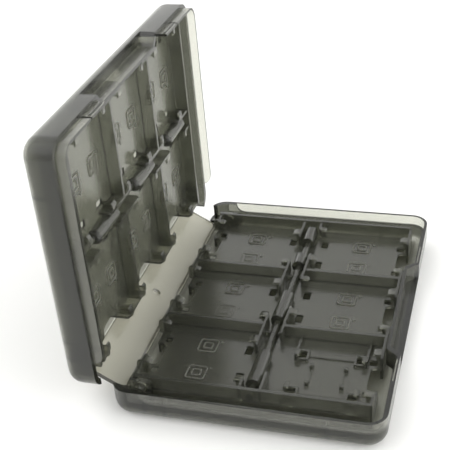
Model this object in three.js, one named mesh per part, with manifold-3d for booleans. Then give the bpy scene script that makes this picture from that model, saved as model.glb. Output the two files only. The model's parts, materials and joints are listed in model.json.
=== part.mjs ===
// A folding case for game cards: two shallow shells hinged to one spine plate, each with a card tray in it.
// Sizes are in millimetres. One half is drawn lying open: u (X) runs from its hinge edge to its free edge,
// v (Y) along the hinge and w (Z) from its outer panel up to its rim. The case stands half open, with the
// lid upright and the middle of the base's underside at the origin.
import * as THREE from 'three';
import { mergeVertices } from 'three/addons/utils/BufferGeometryUtils.js';
import Module from 'manifold-3d';

const wasm = await Module();
wasm.setup();

// The game card that one cell holds, and the room round it
const CARD_LENGTH = 35;
const CARD_WIDTH = 33;
const CARD_THICKNESS = 3.8;
const CARD_HEADROOM = 0.6;
const CARD_FIT = 0.2;
const FINGER_ROOM = 5;

// Card tray
const ROWS = 3;
const TRAY_FLOOR = 1;
const TRAY_WALL = 1.4;
const CHANNEL_WIDTH = 6.8;
const UNDER_BAY = 4.2;
const LIP = 0.8;
const LIP_BITE = 0.9;
const LIP_EDGE = 0.25;
const STEM = 1;
const STEM_ROUND = 1.6;
const LONG_CLIP = 8;
const LONG_LIP = 2.6;
const SHORT_CLIP = 4.8;
const SHORT_LIP = 1.2;
const CLIP_JOG = 2;
const CLIP_ROUND = 1;
const CLIP_OVERHANG = 1.8;
const SLOT_START = 9;
const SLOT_SHIFT = 0.9;
const SLOT_WIDTH = 3;
const SLOT_LENGTH = 5.2;
const EDGE_SLOT_LENGTH = 3.2;
const NOTCH_LENGTH = 13;
const NOTCH_DEPTH = 4.4;
const NOTCH_ROUND = 2;
const END_RISE = 0.3;
const BARREL_RADIUS = 3;
const BARREL_LENGTH = 19;
const BARREL_SHIFT = 4.4;
const BARREL_DOME = 1.2;
const SHORT_BARREL = 8.4;
const END_BARREL = 11.3;
const END_BARREL_GAP = 4.3;
const BAR_RADIUS = 1.5;

// Memory-card nest in one cell of the base tray
const MEMORY_CARD_WIDTH = 24;
const MEMORY_CARD_PLAY = 1;
const MEMORY_CLIP_SPAN = 21.5;
const NEST_SHIFT_U = 1;
const NEST_SHIFT_V = -2.4;
const CLIP_FIN = 1;
const CLIP_LENGTH = 5.8;
const CLIP_HOOK_LENGTH = 3.2;
const CLIP_RISE = 3.2;
const FIN_RISE = 2;
const CLIP_FRAME = 4.2;
const CLIP_FRAME_RISE = 1.2;
const CLIP_FRAME_WALL = 0.8;
const SMALL_CARD_WIDTH = 11;
const SMALL_POST_SPAN = 9.8;
const SMALL_POST = 1.5;
const SMALL_POST_RISE = 1.6;
const RIDGE = 0.5;

// Shells
const SIDE_MARGIN = 6.2;
const END_MARGIN = 10;
const RIM_COVER = 0.6;
const CORNER_RADIUS = 7.3;
const EDGE_RADIUS = 5.7;
const WALL = 2.4;
const PANEL = 1.5;
const FIT = 0.3;
const RIB = 1.2;
const RIB_REACH = 2.6;
const RIB_INSET = 21;

// Lap joint round the rim, its latch tongues and the finger recess
const RIM_LIP = 1.2;
const LAP_HEIGHT = 4;
const LAP_START = 12.5;
const LAP_RUN = 6;
const LAP_SETBACK = 1;
const LAP_TIP_GAP = 0.9;
const LATCH_LENGTH = 12.5;
const LATCH_SLIT = 1;
const LATCH_BEAD = 0.5;
const LATCH_RISE = 2.6;
const RECESS_LENGTH = 61;
const RECESS_DEPTH = 4.5;
const RECESS_SILL = 5.8;
const RECESS_WALL = 1.2;

// Spine and its four hinge pins
const HINGE_INSET = 2.1;
const HINGE_HEIGHT = 4.6;
const CLOSED_GAP = 0.5;
const SPINE_THICKNESS = 1.8;
const SPINE_SETBACK = 9.6;
const SPINE_END_GAP = 0.4;
const PIN_RADIUS = 0.9;
const PIN_LENGTH = 3;
const BOSS_RISE = 2.6;
const BOSS_WALL = 1.5;
const BOSS_SETBACK = 2;
const DIMPLE_RADIUS = 2;
const DIMPLE_DEPTH = 0.9;
const DIMPLE_OFFSET = -3.8;

// Pivots that hold the trays in the shells
const PIVOT_INSET = 3.4;
const PIVOT_HEIGHT = 8.2;
const PIVOT_RADIUS = 2.2;
const PIVOT_BORE = 1.2;
const PIVOT_BORE_DEPTH = 2.5;
const PIVOT_REACH = 2.4;
const BRACKET = 1.5;
const BRACKET_GAP = 0.5;
const BRACKET_COVER = 0.9;

// How far the case stands open, in degrees
const SPINE_ANGLE = 30;
const LID_ANGLE = 60;

// Sizes that follow from the ones above
const clipReach = STEM + CLIP_JOG;
const columnWidth = CARD_LENGTH + 2 * (CARD_FIT + clipReach);
const trayWidth = 2 * columnWidth + CHANNEL_WIDTH;
const rowPitch = CARD_WIDTH + FINGER_ROOM + TRAY_WALL;
const trayLength = ROWS * rowPitch + TRAY_WALL;
const halfWidth = trayWidth + 2 * SIDE_MARGIN;
const caseLength = trayLength + 2 * END_MARGIN;
const floorBottom = PANEL + UNDER_BAY;
const floorTop = floorBottom + TRAY_FLOOR;
const lipBottom = floorTop + CARD_THICKNESS + CARD_HEADROOM;
const lipTop = lipBottom + LIP;
const halfDepth = lipTop + RIM_COVER;
const trayFoot = PANEL + FIT;
const trayNear = SIDE_MARGIN;
const trayFar = SIDE_MARGIN + trayWidth;
const channelMiddle = halfWidth / 2;
const notchHalf = caseLength / 2 - SPINE_SETBACK;
const spineHalf = notchHalf - SPINE_END_GAP;
const spineSpan = 2 * (halfDepth - HINGE_HEIGHT) + CLOSED_GAP;
const bossReach = HINGE_INSET + PIN_RADIUS + FIT + BOSS_WALL;
const pivotU = trayNear + PIVOT_INSET;
const bracketInside = trayLength / 2 + BRACKET_GAP;
const bracketOutside = bracketInside + BRACKET;
const rebateFloor = halfDepth - LAP_HEIGHT - LAP_TIP_GAP + CLOSED_GAP;
const latchStart = RECESS_LENGTH / 2 + 2 * RECESS_WALL - RIM_LIP - FIT + LATCH_SLIT;
const PAST = 1;
const SIDES = [-1, 1];

// A closed three.js geometry as a solid that can be joined and cut
function solid(geometry) {
  geometry.deleteAttribute('normal');
  geometry.deleteAttribute('uv');
  const merged = mergeVertices(geometry, 1e-4);
  const vertProperties = new Float32Array(merged.attributes.position.array);
  const triVerts = new Uint32Array(merged.index.array);
  return new wasm.Manifold(new wasm.Mesh({ numProp: 3, vertProperties, triVerts }));
}

function join(solids) {
  return solids.reduce((whole, piece) => whole.add(piece));
}

function block(u0, u1, v0, v1, w0, w1) {
  const box = new THREE.BoxGeometry(Math.abs(u1 - u0), Math.abs(v1 - v0), Math.abs(w1 - w0));
  return solid(box.translate((u0 + u1) / 2, (v0 + v1) / 2, (w0 + w1) / 2));
}

// A round rod along the hinge direction
function rod(radius, v0, v1, u, w, sides = 16) {
  const cylinder = new THREE.CylinderGeometry(radius, radius, Math.abs(v1 - v0), sides);
  return solid(cylinder.translate(u, (v0 + v1) / 2, w));
}

// A flat outline in u and v, raised from w0 to w1
function raised(shape, w0, w1, curveSegments = 8) {
  const geometry = new THREE.ExtrudeGeometry(shape, { depth: w1 - w0, bevelEnabled: false, curveSegments });
  return solid(geometry.translate(0, 0, w0));
}

// An outline in u and w, drawn out along the hinge from v0 to v1
function drawnAlongV(shape, v0, v1, curveSegments = 8) {
  const geometry = new THREE.ExtrudeGeometry(shape, { depth: v1 - v0, bevelEnabled: false, curveSegments });
  return solid(geometry.rotateX(Math.PI / 2).translate(0, v1, 0));
}

// An outline in v and w, drawn across the hinge from u0 to u1
function drawnAcross(shape, u0, u1, curveSegments = 2) {
  const geometry = new THREE.ExtrudeGeometry(shape, { depth: u1 - u0, bevelEnabled: false, curveSegments });
  const turn = new THREE.Matrix4().set(0, 0, 1, u0, 1, 0, 0, 0, 0, 1, 0, 0, 0, 0, 0, 1);
  return solid(geometry.applyMatrix4(turn));
}

function polygon(points) {
  return new THREE.Shape(points.map(([x, y]) => new THREE.Vector2(x, y)));
}

// The plan of a half, drawn in from its outside by an inset
function plan(inset) {
  const radius = CORNER_RADIUS - inset;
  const u0 = inset;
  const u1 = halfWidth - inset;
  const v1 = caseLength / 2 - inset;
  const v0 = -v1;
  const shape = new THREE.Shape();
  shape.absarc(u1 - radius, v1 - radius, radius, 0, Math.PI / 2);
  shape.absarc(u0 + radius, v1 - radius, radius, Math.PI / 2, Math.PI);
  shape.absarc(u0 + radius, v0 + radius, radius, Math.PI, 1.5 * Math.PI);
  shape.absarc(u1 - radius, v0 + radius, radius, 1.5 * Math.PI, 2 * Math.PI);
  shape.closePath();
  return shape;
}

// A pan-shaped solid: the plan raised from a level to above the rim, with its lower edge rounded
function pan(inset, bottom) {
  const edge = EDGE_RADIUS - inset;
  const geometry = new THREE.ExtrudeGeometry(plan(inset), {
    depth: halfDepth + PAST,
    bevelEnabled: true,
    bevelThickness: edge,
    bevelSize: edge,
    bevelOffset: -edge,
    bevelSegments: Math.round(edge),
    curveSegments: 8,
  });
  return solid(geometry.translate(0, 0, bottom + edge));
}

function ring(outerInset, innerInset, w0, w1) {
  const hole = raised(plan(innerInset), w0 - PAST, w1 + PAST);
  return raised(plan(outerInset), w0, w1).subtract(hole);
}

// The finger recess in the free edge: its plan, grown by a margin all round
function recessPlan(margin) {
  const back = halfWidth - RECESS_DEPTH - margin;
  const half = RECESS_LENGTH / 2 + margin * Math.SQRT2;
  const front = halfWidth + PAST;
  return polygon([
    [back, -half + RECESS_DEPTH],
    [front, -half - PAST],
    [front, half + PAST],
    [back, half - RECESS_DEPTH],
  ]);
}

// What the two shells share: the pan, the hinge and pivot bearings, the wall ribs and the finger recess
function shellBlank() {
  const rim = block(-PAST, halfWidth + PAST, -caseLength, caseLength, -PAST, halfDepth);
  const outside = pan(0, 0).intersect(rim);
  const parts = [outside.subtract(pan(WALL, PANEL))];
  const wallInside = caseLength / 2 - WALL;
  const ledge = Math.min(rebateFloor, halfDepth - LAP_HEIGHT);
  for (const side of SIDES) {
    parts.push(
      block(0, bossReach, side * notchHalf, side * wallInside, PANEL / 2, HINGE_HEIGHT + BOSS_RISE),
      block(
        pivotU - 4.2,
        pivotU + 4.2,
        side * bracketInside,
        side * bracketOutside,
        PANEL / 2,
        PIVOT_HEIGHT + PIVOT_RADIUS + FIT + BRACKET_COVER,
      ),
      block(
        pivotU + 4.2 - RIB,
        pivotU + 4.2,
        side * (bracketOutside - FIT),
        side * (wallInside + FIT),
        PANEL / 2,
        ledge,
      ),
    );
    for (const u of [RIB_INSET, halfWidth - RIB_INSET]) {
      parts.push(
        block(
          u - RIB / 2,
          u + RIB / 2,
          side * (wallInside - RIB_REACH),
          side * (wallInside + FIT),
          PANEL / 2,
          ledge,
        ),
      );
    }
  }
  parts.push(raised(recessPlan(RECESS_WALL), RECESS_SILL - RECESS_WALL, halfDepth));
  let shell = join(parts).intersect(outside);
  shell = shell.subtract(raised(recessPlan(0), RECESS_SILL, halfDepth + PAST));
  const notchReach = HINGE_INSET + SPINE_THICKNESS;
  const notchSill = HINGE_HEIGHT - SPINE_THICKNESS / 2 - SPINE_END_GAP;
  shell = shell.subtract(block(-PAST, notchReach, -notchHalf, notchHalf, notchSill, halfDepth + PAST));
  const bossTop = HINGE_HEIGHT + BOSS_RISE;
  const cornerHalf = wallInside - BOSS_SETBACK;
  shell = shell.subtract(block(-PAST, bossReach, -cornerHalf, cornerHalf, bossTop, halfDepth + PAST));
  for (const side of SIDES) {
    const pinEnd = side * (spineHalf + PIN_LENGTH + FIT);
    shell = shell.subtract(rod(PIN_RADIUS + FIT, side * spineHalf, pinEnd, HINGE_INSET, HINGE_HEIGHT));
    shell = shell.subtract(
      rod(
        PIVOT_RADIUS + FIT,
        side * (bracketInside - BRACKET_GAP),
        side * (bracketOutside + BRACKET_GAP),
        pivotU,
        PIVOT_HEIGHT,
      ),
    );
  }
  return shell;
}

// The base's rim is rebated inside, all but its hinge side, and grooved for the latch beads
function baseShell() {
  const start = LAP_START - LAP_SETBACK;
  const profile = new THREE.Shape();
  profile.moveTo(start, halfDepth + PAST);
  profile.lineTo(start, halfDepth);
  profile.quadraticCurveTo(start, rebateFloor, start + LAP_RUN, rebateFloor);
  profile.lineTo(halfWidth + PAST, rebateFloor);
  profile.lineTo(halfWidth + PAST, halfDepth + PAST);
  profile.closePath();
  const rebate = ring(RIM_LIP, WALL, rebateFloor - PAST, halfDepth + PAST)
    .intersect(drawnAlongV(profile, -caseLength, caseLength));
  const recessBack = raised(recessPlan(RECESS_WALL), 0, halfDepth + 2 * PAST);
  let shell = shellBlank().subtract(rebate.subtract(recessBack));
  const grooveHeight = halfDepth + CLOSED_GAP - LATCH_RISE;
  for (const side of SIDES) {
    const groove = rod(
      LATCH_BEAD + FIT,
      side * latchStart,
      side * (latchStart + LATCH_LENGTH),
      halfWidth - RIM_LIP - FIT,
      grooveHeight,
      12,
    );
    shell = shell.subtract(groove);
  }
  return shell;
}

// The lid's rim carries the tongue that drops inside the base's rim, with a latch tongue slit free at each
// end of the finger recess
function lidShell() {
  const top = halfDepth + LAP_HEIGHT;
  const profile = new THREE.Shape();
  profile.moveTo(LAP_START, halfDepth - PAST);
  profile.lineTo(LAP_START, halfDepth);
  profile.quadraticCurveTo(LAP_START, top, LAP_START + LAP_RUN, top);
  profile.lineTo(halfWidth + PAST, top);
  profile.lineTo(halfWidth + PAST, halfDepth - PAST);
  profile.closePath();
  const face = RIM_LIP + FIT;
  let tongue = ring(face, WALL, halfDepth - PAST, top).intersect(drawnAlongV(profile, -caseLength, caseLength));
  const inside = halfWidth - 2 * WALL;
  const above = top + PAST;
  const gap = latchStart - LATCH_SLIT;
  tongue = tongue.subtract(block(inside, halfWidth, -gap, gap, halfDepth - 2 * PAST, above));
  const beads = [];
  for (const side of SIDES) {
    const latchEnd = latchStart + LATCH_LENGTH;
    for (const v of [latchStart - LATCH_SLIT, latchEnd]) {
      tongue = tongue.subtract(
        block(inside, halfWidth, side * v, side * (v + LATCH_SLIT), halfDepth + FIT, above),
      );
    }
    beads.push(
      rod(
        LATCH_BEAD,
        side * (latchStart + LATCH_SLIT),
        side * (latchEnd - LATCH_SLIT),
        halfWidth - face,
        halfDepth + LATCH_RISE,
        12,
      ),
    );
  }
  return join([shellBlank(), tongue, ...beads]);
}

// A clip's stem, a thin wall along a cell's edge from the divider at v, with its far top corner rounded
function stem(u, towards, v, end) {
  const turn = Math.sign(end - v) * STEM_ROUND;
  const side = new THREE.Shape();
  side.moveTo(v, floorBottom);
  side.lineTo(end, floorBottom);
  side.lineTo(end, lipTop - STEM_ROUND);
  side.quadraticCurveTo(end, lipTop, end - turn, lipTop);
  side.lineTo(v, lipTop);
  side.closePath();
  return drawnAcross(side, Math.min(u, u + towards * STEM), Math.max(u, u + towards * STEM));
}

// A card clip at one edge of a cell. A plate across its stem reaches from an overhang behind the stem's back at u
// to the card, and carries a bevelled lip over the card. The clips at two opposite corners of a cell are long.
function clip(u, towards, v, away, overhang) {
  const long = towards * away > 0;
  const back = u - towards * overhang;
  const face = u + towards * clipReach;
  const turn = towards * CLIP_ROUND;
  const jog = v + away * (long ? LONG_CLIP : SHORT_CLIP);
  const plateEnd = jog + away * STEM;
  const lipEnd = plateEnd + away * (long ? LONG_LIP : SHORT_LIP);
  const plate = new THREE.Shape();
  plate.moveTo(back, floorBottom);
  plate.lineTo(face, floorBottom);
  plate.lineTo(face, lipTop - CLIP_ROUND);
  plate.quadraticCurveTo(face, lipTop, face - turn, lipTop);
  plate.lineTo(back + turn, lipTop);
  plate.quadraticCurveTo(back, lipTop, back, lipTop - CLIP_ROUND);
  plate.closePath();
  const tip = face + towards * LIP_BITE;
  const root = u + towards * STEM / 2;
  const lip = polygon([
    [root, lipBottom],
    [tip, lipBottom],
    [tip, lipBottom + LIP_EDGE],
    [face, lipTop],
    [root, lipTop],
  ]);
  const stemEnd = lipEnd + away * (STEM_ROUND + FIT);
  return join([
    long ? stem(u, towards, v, stemEnd) : block(u, u + towards * STEM, v, plateEnd, floorBottom, lipTop),
    drawnAlongV(plate, Math.min(jog, plateEnd), Math.max(jog, plateEnd), 2),
    drawnAlongV(lip, Math.min(jog, lipEnd), Math.max(jog, lipEnd)),
  ]);
}

// The opening in the floor beside a clip's stem
function clipSlot(u, towards, v, away, length) {
  const middle = u + towards * (clipReach + SLOT_SHIFT);
  const start = v + away * SLOT_START;
  const end = start + away * length;
  return block(middle - SLOT_WIDTH / 2, middle + SLOT_WIDTH / 2, start, end, 0, lipBottom - PAST);
}

// The rounded notch in the floor's side edge, halfway along a row
function notch(edge, towards, v) {
  const half = NOTCH_LENGTH / 2;
  const outside = edge - towards * PAST;
  const inside = edge + towards * NOTCH_DEPTH;
  const shape = new THREE.Shape();
  shape.moveTo(outside, v - half);
  shape.lineTo(inside - towards * NOTCH_ROUND, v - half);
  shape.quadraticCurveTo(inside, v - half, inside, v - half + NOTCH_ROUND);
  shape.lineTo(inside, v + half - NOTCH_ROUND);
  shape.quadraticCurveTo(inside, v + half, inside - towards * NOTCH_ROUND, v + half);
  shape.lineTo(outside, v + half);
  shape.closePath();
  return raised(shape, 0, halfDepth, 2);
}

// The clips, posts and ridges that hold a memory card, and a smaller one between them
function memoryNest(u, v, rowMiddle) {
  const added = [];
  const holes = [];
  for (const across of SIDES) {
    const fin = u + across * (MEMORY_CARD_WIDTH / 2 + MEMORY_CARD_PLAY);
    const finOut = fin + across * CLIP_FIN;
    const post = u + across * (SMALL_CARD_WIDTH / 2 + FIT);
    for (const along of SIDES) {
      const at = v + along * MEMORY_CLIP_SPAN / 2;
      const v0 = at - CLIP_LENGTH / 2;
      const v1 = at + CLIP_LENGTH / 2;
      const hook = fin - across * CLIP_FIN;
      const frameIn = fin - across * CLIP_FRAME;
      const rise = floorTop + CLIP_RISE;
      const frameTop = floorTop + CLIP_FRAME_RISE;
      const inset = CLIP_FRAME_WALL;
      const wall = rowMiddle + along * rowPitch / 2;
      const inner = at - along * CLIP_LENGTH / 2;
      const hookEnd = inner + along * CLIP_HOOK_LENGTH;
      added.push(
        block(fin, finOut, inner, hookEnd, floorBottom, rise),
        block(fin, finOut, inner, wall, floorBottom, floorTop + FIN_RISE),
        block(hook, finOut, inner, hookEnd, rise - CLIP_FIN, rise),
        block(frameIn, finOut, v0, v1, floorBottom, frameTop),
      );
      holes.push(
        block(frameIn + across * inset, fin, v0 + inset, v1 - inset, 0, frameTop + FIT),
      );
      const postAt = v + along * SMALL_POST_SPAN / 2;
      added.push(
        block(
          post,
          post + across * SMALL_POST,
          postAt - SMALL_POST / 2,
          postAt + SMALL_POST / 2,
          floorBottom,
          floorTop + SMALL_POST_RISE,
        ),
      );
    }
    const ridge = v + across * MEMORY_CLIP_SPAN / 2;
    const ridgeHalf = MEMORY_CARD_WIDTH / 2;
    const ridgeTop = floorTop + RIDGE;
    added.push(block(u - ridgeHalf, u + ridgeHalf, ridge - RIDGE / 2, ridge + RIDGE / 2, floorBottom, ridgeTop));
    added.push(
      block(
        post,
        post + across * RIDGE,
        v - SMALL_POST_SPAN / 2,
        v + SMALL_POST_SPAN / 2,
        floorBottom,
        ridgeTop,
      ),
    );
  }
  return { added, holes };
}

// A barrel that lies in the channel, with a flat front end and a shallow dome at its back
function barrel(front, back) {
  const height = floorBottom + BARREL_RADIUS + FIT / 4;
  const shoulder = back - BARREL_DOME;
  const round = BARREL_RADIUS - FIT / 2;
  const dome = new THREE.SphereGeometry(round, 12, 6).scale(1, BARREL_DOME / round, 1);
  return rod(BARREL_RADIUS, front, shoulder, channelMiddle, height, 12).add(
    solid(dome.translate(channelMiddle, shoulder, height)),
  );
}

// A tray of two columns of cells either side of a channel. Its dividers stand above and below the floor.
// The cell in nestRow of the free-edge column holds the memory-card nest instead of a game card.
function tray(nestRow = -1) {
  const half = trayLength / 2;
  const channelNear = channelMiddle - CHANNEL_WIDTH / 2;
  const channelFar = channelMiddle + CHANNEL_WIDTH / 2;
  const parts = [block(trayNear, trayFar, -half, half, floorBottom, floorTop)];
  const holes = [];
  const edges = [
    { u: trayNear, towards: 1, overhang: CLIP_OVERHANG },
    { u: channelNear, towards: -1, overhang: 0 },
    { u: channelFar, towards: 1, overhang: 0 },
    { u: trayFar, towards: -1, overhang: 0 },
  ];
  const barHeight = floorTop + BAR_RADIUS - FIT;
  for (const u of [trayNear, trayFar - STEM]) {
    parts.push(block(u, u + STEM, -half, half, trayFoot, floorTop));
  }
  for (let line = 0; line <= ROWS; line += 1) {
    const v = (line - ROWS / 2) * rowPitch;
    const v0 = v - TRAY_WALL / 2;
    const v1 = v + TRAY_WALL / 2;
    if (line === 0 || line === ROWS) {
      parts.push(block(trayNear, trayFar, v0, v1, trayFoot, lipTop + END_RISE));
    } else {
      parts.push(
        block(trayNear, channelNear, v0, v1, trayFoot, lipTop),
        block(channelFar, trayFar, v0, v1, trayFoot, lipTop),
        block(channelNear, channelFar, v0, v1, trayFoot, barHeight),
      );
    }
    for (const away of SIDES) {
      const row = away > 0 ? line : line - 1;
      if (row < 0 || row >= ROWS) {
        continue;
      }
      for (const { u, towards, overhang } of edges) {
        if (row === nestRow && u === channelFar) {
          parts.push(stem(u, towards, v, v + away * (away > 0 ? LONG_CLIP + STEM + LONG_LIP : SHORT_CLIP)));
          continue;
        }
        const inChannel = u === channelNear || u === channelFar;
        parts.push(clip(u, towards, v, away, overhang));
        holes.push(clipSlot(u, towards, v, away, inChannel ? SLOT_LENGTH : EDGE_SLOT_LENGTH));
      }
    }
  }
  for (let row = 0; row < ROWS; row += 1) {
    const v = (row - (ROWS - 1) / 2) * rowPitch;
    holes.push(notch(trayNear, 1, v), notch(trayFar, -1, v));
  }
  if (nestRow >= 0) {
    const u = trayFar - columnWidth / 2 + NEST_SHIFT_U;
    const rowMiddle = (nestRow - (ROWS - 1) / 2) * rowPitch;
    const nest = memoryNest(u, rowMiddle + NEST_SHIFT_V, rowMiddle);
    parts.push(...nest.added);
    holes.push(...nest.holes);
  }
  const whole = join(parts).subtract(join(holes));
  const extras = [rod(BAR_RADIUS, -half + FIT, half - FIT, channelMiddle, barHeight, 12)];
  for (let row = 0; row < ROWS; row += 1) {
    const front = (row - (ROWS - 1) / 2) * rowPitch - BARREL_SHIFT - BARREL_LENGTH / 2;
    if (nestRow >= 0 && row === ROWS - 1) {
      extras.push(barrel(front, front + SHORT_BARREL));
      extras.push(barrel(half - END_BARREL_GAP - END_BARREL, half - END_BARREL_GAP));
    } else {
      extras.push(barrel(front, front + BARREL_LENGTH));
    }
  }
  for (const side of SIDES) {
    const end = bracketOutside + PIVOT_REACH;
    const peg = rod(PIVOT_RADIUS, side * (half - FIT), side * end, pivotU, PIVOT_HEIGHT);
    const bore = rod(PIVOT_BORE, side * (end - PIVOT_BORE_DEPTH), side * (end + PAST), pivotU, PIVOT_HEIGHT, 16);
    extras.push(peg.subtract(bore));
  }
  return join([whole, ...extras]);
}

// The spine lies flat from the base's hinge axis to the lid's, with a pin at each corner
function spine() {
  const half = SPINE_THICKNESS / 2;
  const outline = new THREE.Shape();
  outline.absarc(0, 0, half, -Math.PI / 2, Math.PI / 2);
  outline.absarc(-spineSpan, 0, half, Math.PI / 2, 1.5 * Math.PI);
  outline.closePath();
  const parts = [drawnAlongV(outline, -spineHalf, spineHalf)];
  for (const u of [0, -spineSpan]) {
    parts.push(rod(PIN_RADIUS - FIT / 4, -spineHalf - PIN_LENGTH, spineHalf + PIN_LENGTH, u, 0, 16));
  }
  const ball = (DIMPLE_RADIUS ** 2 + DIMPLE_DEPTH ** 2) / (2 * DIMPLE_DEPTH);
  const dimple = new THREE.SphereGeometry(ball, 16, 12).rotateX(Math.PI / 2);
  dimple.translate(-spineSpan / 2, DIMPLE_OFFSET, half - DIMPLE_DEPTH + ball);
  return join(parts).subtract(solid(dimple));
}

function piece(name, shape, colour, roughness) {
  const { numProp, vertProperties, triVerts } = shape.getMesh();
  const position = new Float32Array((vertProperties.length / numProp) * 3);
  for (let i = 0; i < position.length / 3; i += 1) {
    position.set(vertProperties.subarray(i * numProp, i * numProp + 3), i * 3);
  }
  const geometry = new THREE.BufferGeometry();
  geometry.setAttribute('position', new THREE.BufferAttribute(position, 3));
  geometry.setIndex(new THREE.BufferAttribute(new Uint32Array(triVerts), 1));
  geometry.computeVertexNormals();
  const mesh = new THREE.Mesh(geometry, new THREE.MeshStandardMaterial({ color: colour, roughness, metalness: 0 }));
  mesh.name = name;
  return mesh;
}

const NEST_ROW = 0;

const base = new THREE.Group();
base.position.x = -halfWidth / 2;
base.add(piece('base_shell', baseShell(), '#5d5f5d', 0.42));
base.add(piece('base_tray', tray(NEST_ROW), '#5a5b55', 0.36));

const lid = new THREE.Group();
lid.position.set(HINGE_INSET, 0, -HINGE_HEIGHT);
lid.rotation.z = Math.PI;
lid.add(piece('lid_shell', lidShell(), '#5d5f5d', 0.42));
lid.add(piece('lid_tray', tray(), '#6b6b64', 0.36));

const lidPivot = new THREE.Group();
lidPivot.position.x = -spineSpan;
lidPivot.rotation.y = THREE.MathUtils.degToRad(LID_ANGLE);
lidPivot.add(lid);

const spinePivot = new THREE.Group();
spinePivot.position.set(HINGE_INSET - halfWidth / 2, 0, HINGE_HEIGHT);
spinePivot.rotation.y = THREE.MathUtils.degToRad(SPINE_ANGLE);
spinePivot.add(piece('spine', spine(), '#a5a398', 0.4));
spinePivot.add(lidPivot);

const cardCase = new THREE.Group();
cardCase.add(base, spinePivot);

export default cardCase;
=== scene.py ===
"""A folding game card case in smoke-tinted translucent plastic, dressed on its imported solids.

The case stands half open: base flat, spine leaning back, lid upright. Lengths are metres in the part's own frame,
with +X from the hinges to the base's free edge, +Y along the hinges and +Z up.
"""

import json
import math

import bmesh
import bpy
from mathutils import Euler, Matrix, Vector
from mathutils.bvhtree import BVHTree


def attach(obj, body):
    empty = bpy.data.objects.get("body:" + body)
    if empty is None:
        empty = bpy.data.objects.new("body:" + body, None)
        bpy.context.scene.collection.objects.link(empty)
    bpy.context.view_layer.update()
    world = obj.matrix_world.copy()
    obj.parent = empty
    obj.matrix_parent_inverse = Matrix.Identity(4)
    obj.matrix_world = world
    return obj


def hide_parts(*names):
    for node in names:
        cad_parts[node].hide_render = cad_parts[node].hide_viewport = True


bl_info = {
    "name": "Game Card Case",
    "version": (1, 0, 0),
    "blender": (4, 5, 0),
    "location": "View3D > Sidebar > Card Case",
    "description": "Dresses a folding game card case: rounded mouldings, card marks, smoke plastic and a studio",
    "category": "Object",
}

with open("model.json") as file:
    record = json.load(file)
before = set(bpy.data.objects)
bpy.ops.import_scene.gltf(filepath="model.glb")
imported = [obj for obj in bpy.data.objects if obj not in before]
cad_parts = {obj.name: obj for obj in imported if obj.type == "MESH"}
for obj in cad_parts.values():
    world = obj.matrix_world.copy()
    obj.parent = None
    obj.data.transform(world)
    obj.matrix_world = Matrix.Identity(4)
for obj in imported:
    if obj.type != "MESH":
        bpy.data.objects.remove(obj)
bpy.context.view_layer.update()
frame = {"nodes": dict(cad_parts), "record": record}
MM = 0.001

# Photograph's camera: angles in degrees, distances in metres from the middle of the base's underside
IMAGE_SIZE = 450
VIEW_AZIMUTH = 18.848
VIEW_ELEVATION = 31.271
VIEW_ROLL = -5.442
VIEW_DISTANCE = 401.8 * MM
VIEW_AIM_RIGHT = -25.755 * MM
VIEW_AIM_UP = 38.986 * MM
VIEW_FOCAL = 960.87 / IMAGE_SIZE
VIEW_NEAREST = 10.0 * MM
SENSOR = 36.0

# How the solids' facets are joined and shaded
MERGE_DISTANCE = 0.001 * MM
SHARP_ANGLE = math.radians(38)
EDGE_SAMPLES = 4

# A card mark's outlines and arrow as shares of its size: each outline's side and corner radius, then the arrow
MARK_OUTLINES = ((0.9, 0.12), (0.42, 0.06))
MARK_CORNER_STEPS = 4
MARK_ARROW_RADIUS = 0.11
MARK_ARROW_PLACE = (0.62, 0.34, 0.0)

# A cell's two marks: the way that each lies from the cell's middle, and its share of the full rise
MARK_PAIR = ((1.0, 1.0), (-1.0, 0.6))

# How deep a raised mark is rooted in the floor
MARK_ROOT = 0.05 * MM

# Room between a cell's floor and the card that lies in it
CARD_CLEARANCE = 0.1 * MM

# Planes where the shells' walls thin towards their rims, each a point and a direction
BASE_RIM = ((0.0, 0.0, 8.1 * MM), (0.0, 0.0, 1.0))
LID_RIM = ((-55.116 * MM, 0.0, 0.0), (1.0, 0.0, 0.0))

# Faces whose normals agree this well are one plane of a wall
SAME_PLANE = math.cos(math.radians(1.0))

# Walls of the shells up to the first thickness are clear, and past the second smoky
CLEAR_WALL = 1.3 * MM
SMOKY_WALL = 2.2 * MM

# The melt's flow patches: their size, where most of the noise lies, the tint's share that the greyest
# keep, and how much they dull the gloss
FLOW_SIZE = 18.0 * MM
FLOW_LOW = 0.3
FLOW_HIGH = 0.7
FLOW_GREYING = 0.9
FLOW_DULLING = 0.04

# The mould's spark texture, 0.1 mm wide on the real case and drawn coarser so that it shows
GRAIN_SIZE = 0.6 * MM
GRAIN_DEPTH = 0.03 * MM
GRAIN_STRENGTH = 0.12

# Polystyrene that isn't polished
RESIN_IOR = 1.57
RESIN_SPECULAR = 0.4

# Studio floor, a little under the case
FLOOR_REACH = 3.0
FLOOR_DROP = 0.3 * MM
FLOOR_ROUGHNESS = 0.8

# Studio light: the sky's tint, what its back adds and its strength in front and at the sides, then each softbox's
# place and power
SKY_TINT = (1.0, 1.0, 0.985, 1.0)
SKY_BACK = 0.25
SKY_FRONT_STRENGTH = 0.5
SKY_SIDE_STRENGTH = 1.75
SOFTBOX_WIDTH = 0.8
SOFTBOXES = {"softbox_left": ((-0.5, -0.5, 0.8), 1.5), "softbox_right": ((0.9, -0.2, 0.3), 3.5)}


def linear(code):
    """The linear colour of an sRGB hex value."""
    parts = [int(code[i : i + 2], 16) / 255 for i in (1, 3, 5)]
    return tuple(c / 12.92 if c <= 0.04045 else ((c + 0.055) / 1.055) ** 2.4 for c in parts)


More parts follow.
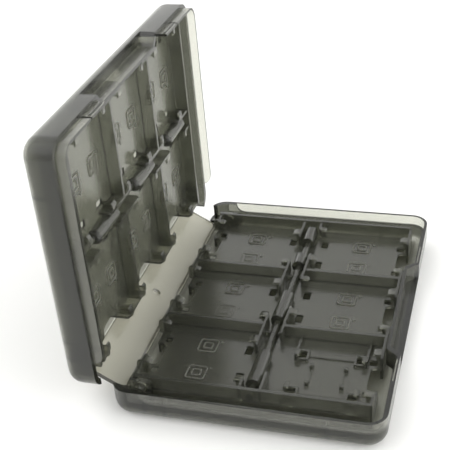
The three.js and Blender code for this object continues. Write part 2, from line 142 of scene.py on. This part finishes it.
def add(tree, kind, inputs=None, **settings):
    """A new node with its settings, each input set to a value or linked from a socket."""
    made = tree.nodes.new(kind)
    for name, value in settings.items():
        setattr(made, name, value)
    for name, value in (inputs or {}).items():
        if isinstance(value, bpy.types.NodeSocket):
            tree.links.new(value, made.inputs[name])
        else:
            made.inputs[name].default_value = value
    return made


class CardCaseSizes(bpy.types.PropertyGroup):
    """Sizes of the moulded detail"""

    edge_radius: bpy.props.FloatProperty(
        name="Edge radius",
        description="Radius that the moulded edges catch the light with",
        default=0.18 * MM,
        min=0.0,
        precision=5,
        unit="LENGTH",
    )
    mark_size: bpy.props.FloatProperty(
        name="Mark size",
        description="Length of the card mark on a cell's floor",
        default=8.0 * MM,
        min=2.0 * MM,
        precision=5,
        unit="LENGTH",
    )
    mark_line: bpy.props.FloatProperty(
        name="Mark line",
        description="Width of the mark's raised lines",
        default=0.55 * MM,
        min=0.1 * MM,
        precision=5,
        unit="LENGTH",
    )
    mark_rise: bpy.props.FloatProperty(
        name="Mark rise",
        description="Height of the mark's lines over the floor",
        default=0.4 * MM,
        min=0.05 * MM,
        precision=5,
        unit="LENGTH",
    )
    mark_spread: bpy.props.FloatProperty(
        name="Mark spread",
        description="Distance of the two marks of a cell from the cell's middle",
        default=8.0 * MM,
        min=0.0,
        precision=5,
        unit="LENGTH",
    )


class CardCaseFinish(bpy.types.PropertyGroup):
    """Colours of the plastic and the studio"""

    shell_tint: bpy.props.FloatVectorProperty(
        name="Shell tint",
        description="Colour that light takes on at the shells' surfaces",
        default=linear("#75766d"),
        subtype="COLOR",
        min=0.0,
        max=1.0,
    )
    rim_tint: bpy.props.FloatVectorProperty(
        name="Rim tint",
        description="Colour that light takes on at the shells' thin rims and panels",
        default=linear("#f9f9f1"),
        subtype="COLOR",
        min=0.0,
        max=1.0,
    )
    tray_tint: bpy.props.FloatVectorProperty(
        name="Tray tint",
        description="Colour that light takes on at the trays' surfaces",
        default=linear("#b4b5a9"),
        subtype="COLOR",
        min=0.0,
        max=1.0,
    )
    # The marks' paler colour is painted highlight, standing for light caught on their raised edges
    mark_tint_painted_highlight: bpy.props.FloatVectorProperty(
        name="Mark tint",
        description="Colour that light takes on at the raised card marks",
        default=linear("#bfbfb3"),
        subtype="COLOR",
        min=0.0,
        max=1.0,
    )
    spine_tint: bpy.props.FloatVectorProperty(
        name="Spine tint",
        description="Colour that light takes on at the spine's surfaces",
        default=linear("#e3e0d3"),
        subtype="COLOR",
        min=0.0,
        max=1.0,
    )
    smoke: bpy.props.FloatVectorProperty(
        name="Smoke",
        description="Colour that is left of white light deep in the plastic",
        default=linear("#bbbdb2"),
        subtype="COLOR",
        min=0.0,
        max=1.0,
    )
    floor: bpy.props.FloatVectorProperty(
        name="Floor",
        description="Colour of the studio floor",
        default=linear("#fbfbfa"),
        subtype="COLOR",
        min=0.0,
        max=1.0,
    )


def smoke_plastic(name, tint, smoke, density, roughness, milk, thin_tint=None):
    """Smoke-tinted polystyrene, injection moulded: a clear resin that darkens with its depth and is slightly milky.

    The mould's fine texture makes its gloss satin, and the melt's flow leaves broad patches a little duller or greyer.
    Thin walls pass most light and look pale where a thin_tint is given, and thick ones look solid. Milk is the share
    of light that the resin scatters.
    """
    material = bpy.data.materials.new(name)
    material.use_nodes = True
    tree = material.node_tree
    tree.nodes.clear()
    place = add(tree, "ShaderNodeTexCoord").outputs["Object"]
    flow = add(tree, "ShaderNodeTexNoise", {"Vector": place, "Scale": 1 / FLOW_SIZE, "Detail": 2.0})
    grain = add(tree, "ShaderNodeTexNoise", {"Vector": place, "Scale": 1 / GRAIN_SIZE, "Detail": 3.0})
    patches = add(
        tree,
        "ShaderNodeMix",
        {"Factor": flow.outputs["Fac"], 6: (*(c * FLOW_GREYING for c in tint), 1.0), 7: (*tint, 1.0)},
        data_type="RGBA",
    )
    colour = patches.outputs[2]
    if thin_tint is not None:
        wall = add(tree, "ShaderNodeAttribute", attribute_name="wall").outputs["Fac"]
        depth = add(tree, "ShaderNodeMapRange", {"Value": wall, "From Min": CLEAR_WALL, "From Max": SMOKY_WALL})
        shaded = add(
            tree,
            "ShaderNodeMix",
            {"Factor": depth.outputs["Result"], 6: (*thin_tint, 1.0), 7: colour},
            data_type="RGBA",
        )
        colour = shaded.outputs[2]
    gloss = add(
        tree,
        "ShaderNodeMapRange",
        {
            "Value": flow.outputs["Fac"],
            "From Min": FLOW_LOW,
            "From Max": FLOW_HIGH,
            "To Min": roughness - FLOW_DULLING,
            "To Max": roughness + FLOW_DULLING,
        },
    )
    edge_radius = bpy.context.scene.card_case_sizes.edge_radius
    edges = add(tree, "ShaderNodeBevel", {"Radius": edge_radius}, samples=EDGE_SAMPLES)
    bump = add(
        tree,
        "ShaderNodeBump",
        {
            "Height": grain.outputs["Fac"],
            "Strength": GRAIN_STRENGTH,
            "Distance": GRAIN_DEPTH,
            "Normal": edges.outputs["Normal"],
        },
    )
    shader = add(
        tree,
        "ShaderNodeBsdfPrincipled",
        {
            "Base Color": colour,
            "Roughness": gloss.outputs["Result"],
            "Normal": bump.outputs["Normal"],
            "IOR": RESIN_IOR,
            "Specular IOR Level": RESIN_SPECULAR,
            "Transmission Weight": 1.0 - milk,
        },
    )
    body = add(tree, "ShaderNodeVolumeAbsorption", {"Color": (*smoke, 1.0), "Density": density})
    add(tree, "ShaderNodeOutputMaterial", {"Surface": shader.outputs["BSDF"], "Volume": body.outputs["Volume"]})
    return material


def measure_walls(shape, seams):
    """Gives each face the depth of the plastic straight under it, as an attribute of the mesh.

    The faces of one plane, up to the seams, get their mean, so that no facet shows.
    """
    shape.normal_update()
    surface = BVHTree.FromBMesh(shape)
    wall = shape.faces.layers.float.new("wall")
    for face in shape.faces:
        start = face.calc_center_median() - face.normal * MERGE_DISTANCE
        face[wall] = surface.ray_cast(start, -face.normal)[3] or 0.0
    left = set(shape.faces)
    for first in shape.faces:
        if first not in left:
            continue
        left.remove(first)
        plane = [first]
        for face in plane:
            for edge in (edge for edge in face.edges if edge not in seams):
                for other in edge.link_faces:
                    if other in left and other.normal.dot(first.normal) > SAME_PLANE:
                        left.remove(other)
                        plane.append(other)
        area = sum(face.calc_area() for face in plane)
        mean = sum(face[wall] * face.calc_area() for face in plane) / area
        for face in plane:
            face[wall] = mean


def moulded(node, body, material, rim=None):
    """A copy of a solid with its facets joined and shaded smooth between its edges, standing for the solid.

    A shell is also cut round its rim, so that its thin lip is measured apart from the wall below.
    """
    mesh = frame["nodes"][node].data.copy()
    mesh.name = node + "_moulding"
    mesh.materials.clear()
    mesh.materials.append(material)
    facet_normals = mesh.attributes.get("custom_normal")
    if facet_normals:
        mesh.attributes.remove(facet_normals)
    shape = bmesh.new()
    shape.from_mesh(mesh)
    bmesh.ops.remove_doubles(shape, verts=shape.verts, dist=MERGE_DISTANCE)
    if rim:
        point, direction = rim
        cut = bmesh.ops.bisect_plane(
            shape,
            geom=[*shape.verts, *shape.edges, *shape.faces],
            dist=MERGE_DISTANCE,
            plane_co=point,
            plane_no=direction,
        )
        measure_walls(shape, {part for part in cut["geom_cut"] if isinstance(part, bmesh.types.BMEdge)})
    shape.to_mesh(mesh)
    shape.free()
    mesh.shade_smooth()
    mesh.set_sharp_from_angle(angle=SHARP_ANGLE)
    piece = bpy.data.objects.new(mesh.name, mesh)
    bpy.context.scene.collection.objects.link(piece)
    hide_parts(node)
    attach(piece, body)
    return piece


def mark_tree():
    """The nodes that set a pair of raised card marks on each point, one of them lower than the other."""
    tree = bpy.data.node_groups.new("card marks", "GeometryNodeTree")
    tree.interface.new_socket("Points", in_out="INPUT", socket_type="NodeSocketGeometry")
    for name in ("Size", "Line", "Rise", "Spread"):
        tree.interface.new_socket(name, in_out="INPUT", socket_type="NodeSocketFloat")
    tree.interface.new_socket("Turn", in_out="INPUT", socket_type="NodeSocketVector")
    tree.interface.new_socket("Plastic", in_out="INPUT", socket_type="NodeSocketMaterial")
    tree.interface.new_socket("Marks", in_out="OUTPUT", socket_type="NodeSocketGeometry")
    given = add(tree, "NodeGroupInput").outputs
    thick = add(tree, "ShaderNodeMath", {0: given["Rise"], 1: MARK_ROOT}, operation="ADD").outputs[0]
    line = add(tree, "GeometryNodeCurvePrimitiveQuadrilateral", {"Width": given["Line"], "Height": thick})
    mark = add(tree, "GeometryNodeJoinGeometry")
    for side_share, corner_share in MARK_OUTLINES:
        side = add(tree, "ShaderNodeMath", {0: given["Size"], 1: side_share}, operation="MULTIPLY").outputs[0]
        corner = add(tree, "ShaderNodeMath", {0: given["Size"], 1: corner_share}, operation="MULTIPLY").outputs[0]
        outline = add(tree, "GeometryNodeCurvePrimitiveQuadrilateral", {"Width": side, "Height": side})
        rounded = add(
            tree,
            "GeometryNodeFilletCurve",
            {"Curve": outline.outputs[0], "Count": MARK_CORNER_STEPS, "Radius": corner},
            mode="POLY",
        )
        ring = add(tree, "GeometryNodeCurveToMesh", {"Curve": rounded.outputs[0], "Profile Curve": line.outputs[0]})
        tree.links.new(ring.outputs[0], mark.inputs[0])
    reach = add(tree, "ShaderNodeMath", {0: given["Size"], 1: MARK_ARROW_RADIUS}, operation="MULTIPLY").outputs[0]
    arrow = add(tree, "GeometryNodeMeshCylinder", {"Vertices": 3, "Radius": reach, "Depth": thick})
    beside = add(tree, "ShaderNodeVectorMath", {0: MARK_ARROW_PLACE, "Scale": given["Size"]}, operation="SCALE")
    moved = add(tree, "GeometryNodeTransform", {"Geometry": arrow.outputs["Mesh"], "Translation": beside.outputs[0]})
    tree.links.new(moved.outputs[0], mark.inputs[0])
    # Each form is centred on its own thickness, so a mark's middle lies half of that under its top
    pair = add(tree, "GeometryNodeJoinGeometry")
    for way, height in MARK_PAIR:
        along = add(tree, "ShaderNodeMath", {0: given["Spread"], 1: way}, operation="MULTIPLY").outputs[0]
        middle = add(
            tree,
            "ShaderNodeMath",
            {0: given["Rise"], 1: height - 0.5, 2: -MARK_ROOT / 2},
            operation="MULTIPLY_ADD",
        )
        spot = add(tree, "ShaderNodeCombineXYZ", {"Y": along, "Z": middle.outputs[0]})
        copy = add(tree, "GeometryNodeTransform", {"Geometry": mark.outputs[0], "Translation": spot.outputs[0]})
        tree.links.new(copy.outputs[0], pair.inputs[0])
    placed = add(
        tree,
        "GeometryNodeInstanceOnPoints",
        {"Points": given["Points"], "Instance": pair.outputs[0], "Rotation": given["Turn"]},
    )
    solid = add(tree, "GeometryNodeRealizeInstances", {"Geometry": placed.outputs[0]})
    finished = add(tree, "GeometryNodeSetMaterial", {"Geometry": solid.outputs[0], "Material": given["Plastic"]})
    add(tree, "NodeGroupOutput", {"Marks": finished.outputs[0]})
    return tree


def card_marks(body, tree, material, floor_axis, turn):
    """The raised marks on the floors of a half's game card cells, as one plain mesh.

    floor_axis is the axis that points out of the floors, and turn takes a mark from lying flat to lying on them.
    """
    sizes = bpy.context.scene.card_case_sizes
    points = []
    for opening in frame["record"]["physics"]["openings"]:
        if opening["name"].startswith(body + "_cell_"):
            low, high = (Vector(corner) for corner in opening["box_m"])
            point = (low + high) / 2
            point[floor_axis] = low[floor_axis] - CARD_CLEARANCE
            points.append(point)
    if not points:
        raise RuntimeError("no card cells found in the " + body)
    name = body + "_card_marks"
    mesh = bpy.data.meshes.new(name)
    mesh.from_pydata(points, [], [])
    piece = bpy.data.objects.new(name, mesh)
    bpy.context.scene.collection.objects.link(piece)
    modifier = piece.modifiers.new("marks", "NODES")
    modifier.node_group = tree
    values = {
        "Size": sizes.mark_size,
        "Line": sizes.mark_line,
        "Rise": sizes.mark_rise,
        "Spread": sizes.mark_spread,
        "Turn": turn,
        "Plastic": material,
    }
    for socket in tree.interface.items_tree:
        if socket.name in values:
            modifier[socket.identifier] = values[socket.name]
    depsgraph = bpy.context.evaluated_depsgraph_get()
    plain = bpy.data.meshes.new_from_object(piece.evaluated_get(depsgraph), depsgraph=depsgraph)
    plain.name = name
    piece.modifiers.clear()
    piece.data = plain
    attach(piece, body)
    return piece


def lay_floor(scene):
    """A pale painted floor under the case, matt so that it takes only soft shadows."""
    paint = bpy.data.materials.new("pale studio floor")
    paint.use_nodes = True
    shader = paint.node_tree.nodes["Principled BSDF"]
    shader.inputs["Base Color"].default_value = (*scene.card_case_finish.floor, 1.0)
    shader.inputs["Roughness"].default_value = FLOOR_ROUGHNESS
    mesh = bpy.data.meshes.new("studio_floor")
    corners = [(x * FLOOR_REACH, y * FLOOR_REACH, -FLOOR_DROP) for x, y in ((-1, -1), (1, -1), (1, 1), (-1, 1))]
    mesh.from_pydata(corners, [], [(0, 1, 2, 3)])
    mesh.materials.append(paint)
    floor = bpy.data.objects.new("studio_floor", mesh)
    scene.collection.objects.link(floor)


def light_studio(scene):
    """A white sky, brighter to the sides and the back than from the front and above, and two softboxes."""
    scene.world = bpy.data.worlds.new("white studio")
    scene.world.use_nodes = True
    tree = scene.world.node_tree
    towards = add(tree, "ShaderNodeTexCoord").outputs["Generated"]
    ways = add(tree, "ShaderNodeSeparateXYZ", {"Vector": towards}).outputs
    sides = add(tree, "ShaderNodeMath", {0: ways["X"]}, operation="ABSOLUTE").outputs["Value"]
    light = add(tree, "ShaderNodeMath", {0: ways["Y"], 1: SKY_BACK, 2: sides}, operation="MULTIPLY_ADD")
    strength = add(
        tree,
        "ShaderNodeMapRange",
        {
            "Value": light.outputs["Value"],
            "From Min": -SKY_BACK,
            "To Min": SKY_FRONT_STRENGTH,
            "To Max": SKY_SIDE_STRENGTH,
        },
    )
    sky = tree.nodes["Background"]
    sky.inputs["Color"].default_value = SKY_TINT
    tree.links.new(strength.outputs["Result"], sky.inputs["Strength"])
    scene.view_settings.view_transform = "Standard"
    for name, (place, power) in SOFTBOXES.items():
        softbox = bpy.data.lights.new(name, "AREA")
        softbox.size = SOFTBOX_WIDTH
        softbox.energy = power
        lamp = bpy.data.objects.new(name, softbox)
        lamp.location = place
        lamp.rotation_euler = (-Vector(place)).to_track_quat("-Z", "Y").to_euler()
        scene.collection.objects.link(lamp)


def set_camera(scene):
    """The photograph's camera."""
    azimuth, elevation, roll = (math.radians(a) for a in (VIEW_AZIMUTH, VIEW_ELEVATION, VIEW_ROLL))
    turn = Euler((math.pi / 2 - elevation, 0, azimuth)).to_matrix() @ Matrix.Rotation(roll, 3, "Z")
    aim = Vector((VIEW_AIM_RIGHT, VIEW_AIM_UP, VIEW_DISTANCE))
    lens = bpy.data.cameras.new("photograph")
    lens.sensor_width = SENSOR
    lens.lens = VIEW_FOCAL * SENSOR
    lens.clip_start = VIEW_NEAREST
    camera = bpy.data.objects.new("photograph", lens)
    camera.matrix_world = Matrix.LocRotScale(turn @ aim, turn, None)
    scene.collection.objects.link(camera)
    scene.camera = camera


class CardCaseShells(bpy.types.Operator):
    """Make the base and lid shells"""

    bl_idname = "card_case.shells"
    bl_label = "Shells"

    def execute(self, context):
        finish = context.scene.card_case_finish
        plastic = smoke_plastic(
            "satin smoke polystyrene",
            finish.shell_tint,
            finish.smoke,
            density=320,
            roughness=0.2,
            milk=0.03,
            thin_tint=finish.rim_tint,
        )
        moulded("base_shell", "base", plastic, BASE_RIM)
        moulded("lid_shell", "lid", plastic, LID_RIM)
        return {"FINISHED"}


class CardCaseTrays(bpy.types.Operator):
    """Make the card trays of both halves and the marks on their cells"""

    bl_idname = "card_case.trays"
    bl_label = "Card trays"

    def execute(self, context):
        finish = context.scene.card_case_finish
        plastic = smoke_plastic(
            "semi-gloss smoke polystyrene", finish.tray_tint, finish.smoke, density=360, roughness=0.19, milk=0.075
        )
        moulded("base_tray", "base", plastic)
        moulded("lid_tray", "lid", plastic)
        # The engraved mould leaves the marks duller than the floor, and their paler tint and extra milk are painted
        # highlight, standing for light caught on their raised edges, so they read as light outlines
        frosted_painted_highlight = smoke_plastic(
            "frosted smoke polystyrene, paled for painted highlight", finish.mark_tint_painted_highlight, finish.smoke, density=220, roughness=0.28, milk=0.18
        )
        tree = mark_tree()
        card_marks("base", tree, frosted_painted_highlight, floor_axis=2, turn=(0.0, 0.0, 0.0))
        card_marks("lid", tree, frosted_painted_highlight, floor_axis=0, turn=(0.0, math.pi / 2, 0.0))
        return {"FINISHED"}


class CardCaseSpine(bpy.types.Operator):
    """Make the spine plate"""

    bl_idname = "card_case.spine"
    bl_label = "Spine"

    def execute(self, context):
        finish = context.scene.card_case_finish
        plastic = smoke_plastic(
            "thin smoke polystyrene", finish.spine_tint, finish.smoke, density=440, roughness=0.2, milk=0.06
        )
        moulded("spine", "spine", plastic)
        return {"FINISHED"}


class CardCaseStage(bpy.types.Operator):
    """Make the floor, the lights and the photograph's camera"""

    bl_idname = "card_case.stage"
    bl_label = "Stage"

    def execute(self, context):
        lay_floor(context.scene)
        light_studio(context.scene)
        set_camera(context.scene)
        return {"FINISHED"}


class CardCasePanel(bpy.types.Panel):
    """Sizes, colours and pieces of the card case"""

    bl_idname = "CARDCASE_PT_case"
    bl_label = "Card Case"
    bl_space_type = "VIEW_3D"
    bl_region_type = "UI"
    bl_category = "Card Case"

    def draw(self, context):
        for settings in (context.scene.card_case_sizes, context.scene.card_case_finish):
            box = self.layout.box()
            for name in settings.__annotations__:
                box.prop(settings, name)
        for operator in OPERATORS:
            self.layout.operator(operator.bl_idname)


GROUPS = (CardCaseSizes, CardCaseFinish)
OPERATORS = (CardCaseShells, CardCaseTrays, CardCaseSpine, CardCaseStage)
CLASSES = (*GROUPS, *OPERATORS, CardCasePanel)


def register():
    for item in CLASSES:
        bpy.utils.register_class(item)
    bpy.types.Scene.card_case_sizes = bpy.props.PointerProperty(type=CardCaseSizes)
    bpy.types.Scene.card_case_finish = bpy.props.PointerProperty(type=CardCaseFinish)


def unregister():
    del bpy.types.Scene.card_case_finish
    del bpy.types.Scene.card_case_sizes
    for item in reversed(CLASSES):
        bpy.utils.unregister_class(item)


def main():
    register()
    bpy.ops.card_case.shells()
    bpy.ops.card_case.trays()
    bpy.ops.card_case.spine()
    bpy.ops.card_case.stage()


if __name__ == "__main__":
    main()
